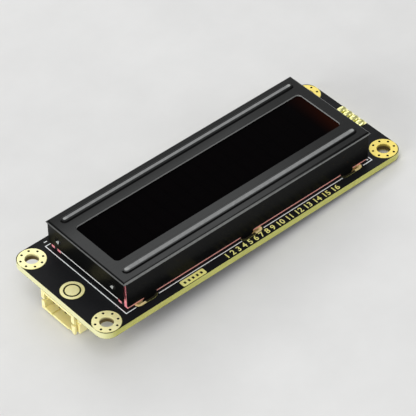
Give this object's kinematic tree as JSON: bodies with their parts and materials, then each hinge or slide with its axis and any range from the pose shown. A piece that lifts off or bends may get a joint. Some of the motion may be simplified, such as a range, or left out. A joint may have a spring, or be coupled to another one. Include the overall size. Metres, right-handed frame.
{
  "type": "character lcd module",
  "caption": "Character display module: circuit board with a folded steel bezel over a glass cell and backlight, and a side-entry lead socket underneath.",
  "frame": {"origin": "middle of the four-hole mounting pattern, on the board's underside", "axes": "+X along the rows of characters from the socket end to the lamp-lead end, +Y towards the top of the characters, +Z out of the display's face"},
  "size_m": [0.0871, 0.032, 0.0158],
  "materials": {
    "board_core": "bare woven glass and epoxy board, seen at its cut edge",
    "solder_mask": "black solder mask, satin gloss",
    "gold": "pale bright gold plating on copper",
    "print_white": "white screen print",
    "bezel_black": "satin black paint on pressed steel",
    "polariser": "near-black polarising film, glossy",
    "cell_glass": "clear soda-lime glass",
    "seal_grey": "cured epoxy seal",
    "crystal": "thin liquid layer",
    "film_white": "white optical film",
    "guide_clear": "clear acrylic",
    "frame_white": "white moulded plastic",
    "lamp_white": "lamp package, white with a clear window",
    "tin": "bright tin and solder",
    "foam_pink": "pink silicone rubber",
    "rubber_black": "layered black and clear contact rubber",
    "resin_black": "poured black resin",
    "socket_ivory": "ivory nylon",
    "moulding_black": "black moulded package",
    "resistor_black": "black glazed resistor",
    "capacitor_tan": "tan ceramic"
  },
  "bodies": {
    "root": {"circuit_board": "board_core", "solder_mask_top": "solder_mask", "solder_mask_bottom": "solder_mask", "plated_mounting_holes": "gold", "plated_tab_slots": "gold", "gold_roundel": "gold", "gold_label": "gold", "backlight_pads": "gold", "contact_fingers": "gold", "silkscreen_outline": "print_white", "bezel": "bezel_black", "front_polariser": "polariser", "front_glass": "cell_glass", "cell_seal": "seal_grey", "liquid_crystal": "crystal", "rear_glass": "cell_glass", "rear_polariser": "polariser", "light_diffuser": "film_white", "light_guide": "guide_clear", "reflector_film": "film_white", "backlight_frame": "frame_white", "led_board": "frame_white", "led_packages": "lamp_white", "backlight_leads": "tin", "lead_solder": "tin", "strip_core_front": "rubber_black", "strip_core_back": "rubber_black", "strip_foam_front": "foam_pink", "strip_foam_back": "foam_pink", "controller_resin": "resin_black", "segment_driver_resin": "resin_black", "socket_housing": "socket_ivory", "socket_pins": "tin", "socket_tabs": "tin", "socket_pads": "gold", "driver_ic_body": "moulding_black", "driver_ic_leads": "tin", "resistor_bodies": "resistor_black", "resistor_caps": "tin", "capacitor_bodies": "capacitor_tan", "capacitor_caps": "tin"}
  },
  "joints": []
}
